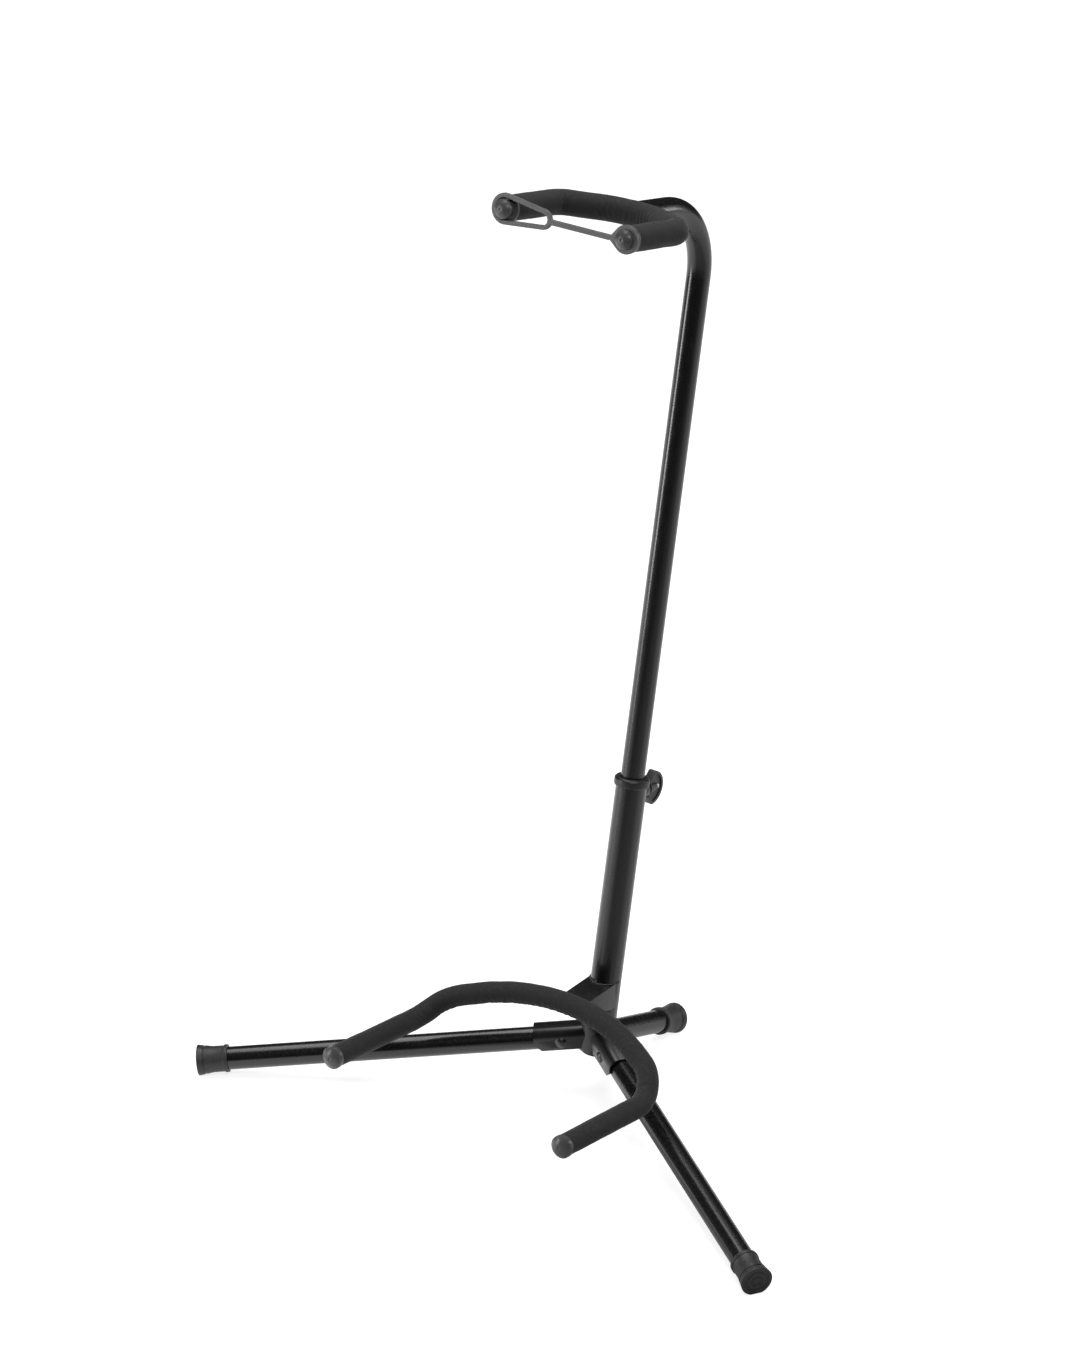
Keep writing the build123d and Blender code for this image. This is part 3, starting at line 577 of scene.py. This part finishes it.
def turned(name, profile, seat, axis, sides=72):
    """A round piece with rings at (distance, radius) stations from a seat along an axis."""
    (along, radius), *others = profile
    bpy.ops.object.select_all(action="DESELECT")
    bpy.ops.mesh.primitive_circle_add(vertices=sides, radius=radius, location=(0, 0, along))
    piece = bpy.context.object
    piece.name = name
    bpy.ops.object.transform_apply(location=True, rotation=True, scale=True)
    bpy.ops.object.mode_set(mode="EDIT")
    bpy.ops.mesh.select_all(action="SELECT")
    for station, size in others:
        bpy.ops.mesh.extrude_edges_move(TRANSFORM_OT_translate={"value": (0, 0, station - along)})
        bpy.ops.transform.resize(
            value=(size / radius, size / radius, 1), center_override=(0, 0, station)
        )
        along, radius = station, size
    bpy.ops.mesh.select_all(action="SELECT")
    bpy.ops.mesh.fill_holes(sides=0)
    bpy.ops.mesh.select_all(action="SELECT")
    bpy.ops.mesh.normals_make_consistent(inside=False)
    bpy.ops.object.mode_set(mode="OBJECT")
    turn = Vector(axis).to_track_quat("Z", "Y").to_matrix().to_4x4()
    piece.matrix_world = Matrix.Translation(seat) @ turn
    bpy.ops.object.transform_apply(location=True, rotation=True, scale=True)
    return piece


def dome(base, width, height, rings=8):
    """Stations of a round dome, from its rim almost to its tip."""
    ball = ((width / 2) ** 2 + height**2) / (2 * height)
    rim = math.asin(width / 2 / ball)
    swings = [rim * (1 - step / rings) for step in range(rings)]
    return [(base + height - ball + ball * math.cos(s), ball * math.sin(s)) for s in swings]


def steel_finish(name, grey, roughness, pattern_scale):
    """Bare or plated steel, mottled by its plating."""
    material, tree, shader = surface(name, roughness, metallic=1.0)
    mottle = use_group(tree, grain, Scale=pattern_scale, Depth=0.000006, Roughness=0.6)
    edge = use_group(tree, wear, Width=0.0004, Gain=4.0)
    bright_steel = (0.55, 0.54, 0.52, 1)
    plate = blend_colour(
        tree, mottle.outputs["Mask"], grey_tone(grey * 0.75), grey_tone(grey * 1.2)
    )
    worn = blend_colour(tree, edge.outputs["Mask"], plate, bright_steel)
    tree.links.new(worn, shader.inputs["Base Color"])
    tree.links.new(
        between(tree, mottle.outputs["Mask"], roughness - 0.08, roughness + 0.12),
        shader.inputs["Roughness"],
    )
    tree.links.new(mottle.outputs["Normal"], shader.inputs["Normal"])
    return material


zinc_plate = steel_finish("zinc_plate", grey=0.5, roughness=0.34, pattern_scale=500.0)
black_steel = steel_finish("black_steel", grey=0.09, roughness=0.36, pattern_scale=900.0)
saddle_half = 0.0113
pivot_shank = 0.003
pivot_head_width = 0.0096
pivot_head_height = 0.0021
pivot_head = dome(saddle_half, pivot_head_width, pivot_head_height)
pivot_profile = [(-along, radius) for along, radius in reversed(pivot_head)]
pivot_profile += [(-saddle_half, pivot_shank), (saddle_half, pivot_shank)] + pivot_head
for side, name in sides:
    fold = joints[name + "_leg_fold"]
    rivet = turned("pivot_rivet_" + name, pivot_profile, fold["pos_m"], fold["axis"], sides=48)
    soften(rivet, width=0.00025)
    paint(rivet, black_steel)
    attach(rivet, "base")
    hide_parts("leg_pivot_rivet_" + name)
    paint(nodes["front_leg_tube_" + name], tube_enamel)
    paint(nodes["leg_spacer_" + name], zinc_plate)

# ---- feet ----
# Flared cups of black rubber pushed over the tubes' ends: a lip at the mouth, a groove
# above the sole, rings in the sole, and a flat where each one stands on the floor.

foot_length = 0.025
foot_lip = 0.0114
foot_lip_length = 0.003
foot_mouth = 0.0107
foot_end = 0.0127
groove_depth = 0.0007


def rubber_finish(name, grey, roughness, grit, dust_amount):
    """Moulded rubber: fine grit, a soft bloom and dust on top."""
    material, tree, shader = surface(name, roughness, specular=0.45)
    skin = use_group(tree, grain, Scale=grit, Depth=0.00004, Roughness=0.65)
    bloom = use_group(tree, grain, Scale=55.0, Depth=0.0, Roughness=0.5)
    edge = use_group(tree, wear, Width=0.0006, Gain=2.0)
    film = use_group(tree, dust, Amount=dust_amount)
    dust_colour = (0.16, 0.16, 0.155, 1)
    body = blend_colour(
        tree, bloom.outputs["Mask"], grey_tone(grey * 0.75), grey_tone(grey * 1.3)
    )
    worn = blend_colour(tree, edge.outputs["Mask"], body, grey_tone(grey * 2.2))
    dusty = blend_colour(tree, film.outputs["Mask"], worn, dust_colour)
    tree.links.new(dusty, shader.inputs["Base Color"])
    tree.links.new(
        between(tree, bloom.outputs["Mask"], roughness - 0.08, roughness + 0.12),
        shader.inputs["Roughness"],
    )
    tree.links.new(skin.outputs["Normal"], shader.inputs["Normal"])
    return material


foot_rubber = rubber_finish(
    "foot_rubber", grey=0.026, roughness=0.46, grit=1500.0, dust_amount=0.35
)
groove_width = 0.0012
groove_low = foot_length - 0.0050
groove_top = groove_low - groove_width
sole_grooves = ((0.0098, 0.0076), (0.0052, 0.0032))
sole_groove_slope = 0.0004


def flare(along):
    """The cup's outside radius past its middle."""
    share = (along - foot_length / 2) / (foot_length / 2)
    return foot_mouth + (foot_end - foot_mouth) * share


foot_profile = [
    (0.0, leg_radius),
    (0.0, foot_lip),
    (foot_lip_length, foot_lip),
    (foot_lip_length, foot_mouth),
    (foot_length / 2, foot_mouth),
    (groove_top, flare(groove_top)),
    (groove_top, flare(groove_top) - groove_depth),
    (groove_low, flare(groove_low) - groove_depth),
    (groove_low, flare(groove_low)),
    (foot_length, foot_end),
]
for outer, inner in sole_grooves:
    foot_profile += [
        (foot_length, outer),
        (foot_length - groove_depth, outer - sole_groove_slope),
        (foot_length - groove_depth, inner + sole_groove_slope),
        (foot_length, inner),
    ]
front_reach = 0.3286
rear_reach = 0.1119
feet = (
    ("foot_right", "front_foot_right", "foot_insert_right", "right_leg", right_leg, front_reach),
    ("foot_left", "front_foot_left", "foot_insert_left", "left_leg", left_leg, front_reach),
    ("foot_rear", "rear_foot", "foot_insert_rear", "base", rear_leg, rear_reach),
)
for name, node, insert, body, direction, reach in feet:
    foot = turned(name, foot_profile, hub + direction * (reach - foot_length), direction, sides=96)
    soften(foot, width=0.0004, angle=30)
    bpy.ops.object.mode_set(mode="EDIT")
    bpy.ops.mesh.select_all(action="SELECT")
    bpy.ops.mesh.bisect(
        plane_co=(0, 0, 0), plane_no=(0, 0, 1), use_fill=True, clear_inner=True, threshold=0.000001
    )
    bpy.ops.object.mode_set(mode="OBJECT")
    paint(foot, foot_rubber)
    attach(foot, body)
    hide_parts(node)
    paint(nodes[insert], zinc_plate)

# ---- stop rivet ----
# A domed steel rivet low in the back of the lower tube, which the mast's glide comes down
# on. It is set before the tube is enamelled.

stop_along = 0.050
stop_inner_end = 0.0084
stop_shank = 0.002
stop_head = 0.004
stop_rim = lower_tube_radius + 0.0009
stop_dome = 0.0027
stop_profile = [
    (stop_inner_end, stop_shank),
    (lower_tube_radius, stop_shank),
    (lower_tube_radius, stop_head),
    (stop_rim, stop_head),
]
stop_profile += dome(stop_rim, 2 * stop_head, stop_dome)
stop = turned("stop_rivet_head", stop_profile, on_mast(stop_along), -forward, sides=48)
soften(stop, width=0.0002)
paint(stop, tube_enamel)
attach(stop, "base")
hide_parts("stop_rivet")

# ---- collar bushing and clamp ----
# A nylon sleeve with a rolled bead in the lower tube's mouth, and a welded boss behind it
# for a wing screw, whose plastic pad presses on the mast.

softened("collar_bushing", "mouth_bushing", "base", black_nylon, width=0.0004)
softened("clamp_boss", "screw_boss", "base", bracket_enamel, width=0.0004)
softened("wing_grip", "wing", "clamp_screw", black_nylon, width=0.0007)
paint(nodes["clamp_pad"], black_nylon)

thread_pitch = 0.001
thread_depth = 0.00032
thread_radius = 0.00295
thread_start = 0.0175
thread_end = 0.0230
screw_start = 0.0123
screw_end = 0.0360
thread_rings = 48
thread_profile = [(screw_start, thread_radius)]
for ring in range(thread_rings + 1):
    share = ring / thread_rings
    thread_profile.append((thread_start + (thread_end - thread_start) * share, thread_radius))
thread_profile.append((screw_end, thread_radius))
screw = turned("threaded_screw", thread_profile, (0, 0, 0), (0, 0, 1), sides=48)
for vertex in screw.data.vertices:
    if thread_start < vertex.co.z < thread_end:
        turn = math.atan2(vertex.co.y, vertex.co.x) / (2 * math.pi)
        tooth = abs(((vertex.co.z / thread_pitch - turn) % 1.0) * 2 - 1)
        shrink = 1 - thread_depth * tooth / thread_radius
        vertex.co.x *= shrink
        vertex.co.y *= shrink
screw_turn = (-forward).to_track_quat("Z", "Y").to_matrix().to_4x4()
screw.matrix_world = Matrix.Translation(on_mast(clamp_along)) @ screw_turn
bpy.ops.object.transform_apply(location=True, rotation=True, scale=True)
bpy.ops.object.shade_smooth_by_angle(angle=math.radians(50))
paint(screw, zinc_plate)
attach(screw, "clamp_screw")
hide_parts("clamp_screw")

# ---- cradle bracket and rod ----
# An upside-down channel of sheet steel, welded to the mast across its top, that carries
# the cradle's rod. The rod is 8 mm steel, bent to the cradle's shape, and hidden in foam.

softened("cradle_bracket", "cradle_channel", "base", bracket_enamel, width=0.0004)
mill_steel = steel_finish("mill_steel", grey=0.3, roughness=0.42, pattern_scale=300.0)
paint(nodes["cradle_rod"], mill_steel)
bracket_low, bracket_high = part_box("cradle_bracket")
roof_height = (bracket_high.z - hub.z) / up_mast.z
roof_points = []
for step in range(bead_steps // 2 + 1):
    turn = math.pi * (step / (bead_steps // 2) - 0.5)
    aside = lower_tube_radius * math.sin(turn)
    ahead = lower_tube_radius * math.cos(turn)
    edge_point = on_mast(roof_height, ahead, aside)
    edge_point -= up_mast * ((edge_point.z - bracket_high.z) / up_mast.z)
    roof_points.append(edge_point)
weld_bead("bracket_weld", roof_points, False, bead_radius)

# ---- cradle foam ----
# Two sleeves of black closed-cell foam pushed along the rod from its ends. The skin is
# dense and dull, it wrinkles inside the bends, and it is notched round the bracket.

cradle_foam_radius = 0.0088
cradle_bore = 0.0041
cradle_corners = [
    (0.112, 0.1982, 0.0360),
    (0.112, 0.0917, 0.0209),
    (0.100, 0.0696, 0.0332),
    (0.000, 0.0253, 0.0603),
    (-0.100, 0.0696, 0.0332),
    (-0.112, 0.0917, 0.0209),
    (-0.112, 0.1982, 0.0360),
]
cradle_route = [hub + Vector((aside, -ahead, above)) for aside, ahead, above in cradle_corners]
cradle_bends = (0.032, 0.040, 0.170, 0.040, 0.032)
foam_step = 0.0016
foam_sides = 44
foam_seam_half = 0.0001
fold_overrun = 0.1
fold_fade = 6
fold_wander_per_metre = 90


def bent_tube(name, route, bends, radius):
    """An open tube: a ring extruded along each straight run and spun round each bend."""
    heading = (route[1] - route[0]).normalized()
    bpy.ops.object.select_all(action="DESELECT")
    bpy.ops.mesh.primitive_circle_add(vertices=foam_sides, radius=radius)
    tube = bpy.context.object
    tube.name = name
    tube.matrix_world = (
        Matrix.Translation(route[0]) @ heading.to_track_quat("Z", "Y").to_matrix().to_4x4()
    )
    bpy.ops.object.transform_apply(location=True, rotation=True, scale=True)
    bpy.ops.object.mode_set(mode="EDIT")
    bpy.ops.mesh.select_all(action="SELECT")
    here = route[0]
    arcs = []
    for index, corner in enumerate(route[1:]):
        heading = (corner - here).normalized()
        last = index == len(route) - 2
        run = (corner - here).length
        if not last:
            onward = (route[index + 2] - corner).normalized()
            angle = heading.angle(onward)
            run -= bends[index] * math.tan(angle / 2)
        steps = max(1, round(run / foam_step))
        for _ in range(steps):
            bpy.ops.mesh.extrude_edges_move(TRANSFORM_OT_translate={"value": heading * (run / steps)})
        here = here + heading * run
        if not last:
            axis = heading.cross(onward).normalized()
            centre = here + axis.cross(heading) * bends[index]
            bpy.ops.mesh.spin(
                steps=max(3, round(angle * bends[index] / foam_step)),
                angle=-angle,
                center=centre,
                axis=axis,
            )
            arcs.append((centre, axis, bends[index], here - centre, angle))
            here = centre + Matrix.Rotation(angle, 3, axis) @ (here - centre)
    bpy.ops.mesh.select_all(action="SELECT")
    bpy.ops.mesh.normals_make_consistent(inside=False)
    bpy.ops.object.mode_set(mode="OBJECT")
    return tube, arcs


def crease(piece, arcs, radius, depth, pitch):
    """Presses folds into the inside of each bend, where the foam is squeezed."""
    for vertex in piece.data.vertices:
        for centre, axis, bend, first, angle in arcs:
            arm = vertex.co - centre
            arm -= axis * arm.dot(axis)
            swing = math.atan2(first.cross(arm).dot(axis), first.dot(arm))
            inside = (bend - arm.length) / radius
            before = swing + fold_overrun
            after = angle + fold_overrun - swing
            if inside > 0 and before > 0 and after > 0 and arm.length < bend + radius:
                fade = min(1.0, fold_fade * before, fold_fade * after)
                wander = noise.noise(vertex.co * fold_wander_per_metre)
                fold = 0.5 - 0.5 * math.cos(2 * math.pi * (swing * bend / pitch + wander))
                vertex.co -= vertex.normal * depth * inside * inside * fold * fade


def lump(piece, depth, size, seed):
    """Uneven thickness left by the foam's blowing."""
    for vertex in piece.data.vertices:
        place = vertex.co / size + Vector((seed, 0, 0))
        vertex.co += vertex.normal * depth * noise.noise(place)


def foam_half(whole, name, side, radius, bore, notch):
    """One side's sleeve: half of the whole tube, given its wall and notched for the metal."""
    half = whole.copy()
    half.data = whole.data.copy()
    half.name = name
    bpy.context.scene.collection.objects.link(half)
    pick(half)
    bpy.ops.object.mode_set(mode="EDIT")
    bpy.ops.mesh.select_all(action="SELECT")
    bpy.ops.mesh.bisect(
        plane_co=(side * foam_seam_half, 0, 0),
        plane_no=(side, 0, 0),
        clear_inner=True,
        threshold=0.000001,
    )
    bpy.ops.object.mode_set(mode="OBJECT")
    wall = half.modifiers.new("wall", "SOLIDIFY")
    wall.thickness = radius - bore
    wall.offset = -1
    cut = half.modifiers.new("notch", "BOOLEAN")
    cut.object = notch
    cut.solver = "EXACT"
    apply_modifiers(half)
    bpy.ops.object.shade_smooth_by_angle(angle=math.radians(50))
    return half


def foam_finish(name):
    """Closed-cell foam: a dull skin of tiny cells, a little sheen and rubbed places."""
    material, tree, shader = surface(name, 0.86, specular=0.3, sheen=0.12)
    cells = use_group(tree, grain, Scale=1700.0, Depth=0.00011, Roughness=0.7)
    cloud = use_group(tree, grain, Scale=120.0, Depth=0.0, Roughness=0.6)
    film = use_group(tree, dust, Amount=0.28)
    deep = (0.013, 0.013, 0.0135, 1)
    body = blend_colour(tree, cloud.outputs["Mask"], deep, grey_tone(0.027))
    speck = put(
        tree,
        "ShaderNodeMapRange",
        {"Value": cells.outputs["Mask"], "From Min": 0.58, "From Max": 0.8, "To Max": 0.4},
    )
    flecked = blend_colour(tree, speck.outputs["Result"], body, grey_tone(0.055))
    dusty = blend_colour(tree, film.outputs["Mask"], flecked, grey_tone(0.11))
    tree.links.new(dusty, shader.inputs["Base Color"])
    tree.links.new(between(tree, cloud.outputs["Mask"], 0.72, 0.95), shader.inputs["Roughness"])
    tree.links.new(cells.outputs["Normal"], shader.inputs["Normal"])
    return material


foam = foam_finish("closed_cell_foam")
notch_play = 0.0001
notch_size = bracket_high - bracket_low
bpy.ops.object.select_all(action="DESELECT")
bpy.ops.mesh.primitive_cube_add(size=1, location=(bracket_low + bracket_high) / 2)
bracket_notch = bpy.context.object
bracket_notch.scale = notch_size + Vector((2, 2, 2)) * notch_play
bpy.ops.object.transform_apply(location=True, rotation=True, scale=True)
cradle_sleeve, cradle_arcs = bent_tube(
    "cradle_sleeve", cradle_route, cradle_bends, cradle_foam_radius
)
crease(cradle_sleeve, cradle_arcs, cradle_foam_radius, depth=0.0006, pitch=0.0052)
lump(cradle_sleeve, depth=0.00022, size=0.011, seed=3.0)
lump(cradle_sleeve, depth=0.00010, size=0.0035, seed=8.0)
for side, name in sides:
    sleeve = foam_half(
        cradle_sleeve, "cradle_sleeve_" + name, side, cradle_foam_radius, cradle_bore, bracket_notch
    )
    paint(sleeve, foam)
    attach(sleeve, "base")
    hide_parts("cradle_foam_" + name)
bpy.data.objects.remove(cradle_sleeve)
bpy.data.objects.remove(bracket_notch)

# ---- cradle caps ----
# Domed caps of grey-black rubber that hold the foam on, each with the small dimple that
# its mould left in the middle.

cap_rubber = rubber_finish(
    "cap_rubber", grey=0.065, roughness=0.32, grit=1300.0, dust_amount=0.2
)
cradle_cap_radius = 0.0092
cap_skirt = 0.0038
cap_shoulder = 0.0006
cap_dome = 0.0032
cap_dome_rings = 10


def with_dimple(stations, radius=0.0012, depth=0.0003):
    """A dome's stations, ended by a small dimple at its tip."""
    kept = [station for station in stations if station[1] > 1.4 * radius]
    tip = kept[-1][0]
    return kept + [(tip, radius), (tip - depth, 0.8 * radius)]


for side, name in sides:
    tip = cradle_route[0] if side > 0 else cradle_route[-1]
    elbow = cradle_route[1] if side > 0 else cradle_route[-2]
    profile = [(0.0, cradle_bore), (0.0, cradle_cap_radius), (cap_skirt, cradle_cap_radius)]
    profile += with_dimple(
        dome(cap_skirt, 2 * (cradle_cap_radius - cap_shoulder), cap_dome, cap_dome_rings)
    )
    cap = turned("cradle_end_" + name, profile, tip, (tip - elbow).normalized(), sides=72)
    soften(cap, width=0.0004, angle=30)
    paint(cap, cap_rubber)
    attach(cap, "base")
    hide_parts("cradle_cap_" + name)

# ---- mast: upper tube, glide and yoke rod ----
# A 19 mm tube bent forward at its top and coped to the yoke's rod, with a nylon glide
# pressed into its lower end.

paint(nodes["upper_tube"], tube_enamel)
paint(nodes["mast_glide"], black_nylon)
paint(nodes["yoke_rod"], mill_steel)

# ---- yoke foam ----
# The same foam on the yoke's rod, thicker, with tight wrinkles in the two corners. It is
# cut away at the back, where the upper tube meets the rod.

yoke_along = 0.6825
yoke_half = 0.0552
yoke_tip = 0.1840
yoke_foam_radius = 0.0100
yoke_bore = 0.0051
yoke_corners = [
    (yoke_half, yoke_tip),
    (yoke_half, 0.1195),
    (0.0, 0.0895),
    (-yoke_half, 0.1195),
    (-yoke_half, yoke_tip),
]
yoke_route = [on_mast(yoke_along, ahead, aside) for aside, ahead in yoke_corners]
yoke_bends = (0.015, 0.060, 0.015)
tube_notch_half = 0.0097
tube_notch_reach = 0.0935
tube_notch_height = 0.05
bpy.ops.object.select_all(action="DESELECT")
bpy.ops.mesh.primitive_cube_add(size=1)
tube_notch = bpy.context.object
tube_notch.matrix_world = (
    Matrix.Translation(on_mast(yoke_along, tube_notch_reach / 2))
    @ forward.to_track_quat("Y", "Z").to_matrix().to_4x4()
    @ Matrix.Diagonal((2 * tube_notch_half, tube_notch_reach, tube_notch_height, 1))
)
bpy.ops.object.transform_apply(location=True, rotation=True, scale=True)
yoke_sleeve, yoke_arcs = bent_tube("yoke_sleeve", yoke_route, yoke_bends, yoke_foam_radius)
crease(yoke_sleeve, yoke_arcs, yoke_foam_radius, depth=0.0009, pitch=0.0048)
lump(yoke_sleeve, depth=0.00022, size=0.011, seed=21.0)
lump(yoke_sleeve, depth=0.00010, size=0.0035, seed=27.0)
for side, name in sides:
    sleeve = foam_half(
        yoke_sleeve, "yoke_sleeve_" + name, side, yoke_foam_radius, yoke_bore, tube_notch
    )
    paint(sleeve, foam)
    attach(sleeve, "mast")
    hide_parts("yoke_foam_" + name)
bpy.data.objects.remove(yoke_sleeve)
bpy.data.objects.remove(tube_notch)

# ---- yoke caps ----
# A rubber cap on each arm: a flange against the foam, a neck for the strap, and a domed
# button that keeps the strap on.

flange_end = 0.0018
flange_radius = 0.0105
neck_end = 0.0056
neck_radius = 0.0060
button_base = 0.0076
button_radius = 0.0075
button_shoulder = 0.0003
button_dome = 0.0031
for side, name in sides:
    profile = [
        (0.0, yoke_bore),
        (0.0, flange_radius),
        (flange_end, flange_radius),
        (flange_end, neck_radius),
        (neck_end, neck_radius),
        (neck_end, button_radius),
        (button_base, button_radius),
    ]
    profile += with_dimple(
        dome(button_base, 2 * (button_radius - button_shoulder), button_dome, cap_dome_rings)
    )
    place = on_mast(yoke_along, yoke_tip, side * yoke_half)
    cap = turned("yoke_button_" + name, profile, place, forward, sides=80)
    soften(cap, width=0.00045, angle=30)
    paint(cap, cap_rubber)
    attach(cap, "mast")
    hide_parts("yoke_cap_" + name)

# ---- retaining strap ----
# One moulding of soft grey-black rubber: a ring round the right cap's neck, a band, and a
# long loop that hooks over the left button. It bends at the neck beside the ring.

strap_rubber = rubber_finish(
    "strap_rubber", grey=0.105, roughness=0.40, grit=1100.0, dust_amount=0.15
)
strap_voxel = 0.0004
bpy.ops.object.select_all(action="DESELECT")
for node in ("strap_band", "strap_anchor"):
    half = bpy.data.objects.new("strap", nodes[node].data.copy())
    bpy.context.scene.collection.objects.link(half)
    half.select_set(True)
    bpy.context.view_layer.objects.active = half
bpy.ops.object.join()
strap = bpy.context.object
strap.name = "retaining_strap"
bpy.ops.mesh.customdata_custom_splitnormals_clear()
bpy.ops.object.mode_set(mode="EDIT")
bpy.ops.mesh.select_all(action="SELECT")
bpy.ops.mesh.remove_doubles(threshold=0.000002)
bpy.ops.object.mode_set(mode="OBJECT")
skin = strap.modifiers.new("skin", "REMESH")
skin.mode = "VOXEL"
skin.voxel_size = strap_voxel
ease = strap.modifiers.new("ease", "SMOOTH")
ease.factor = 0.5
ease.iterations = 9
apply_modifiers(strap)
bpy.ops.object.shade_smooth()
paint(strap, strap_rubber)
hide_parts("strap_band", "strap_anchor")
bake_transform(strap)
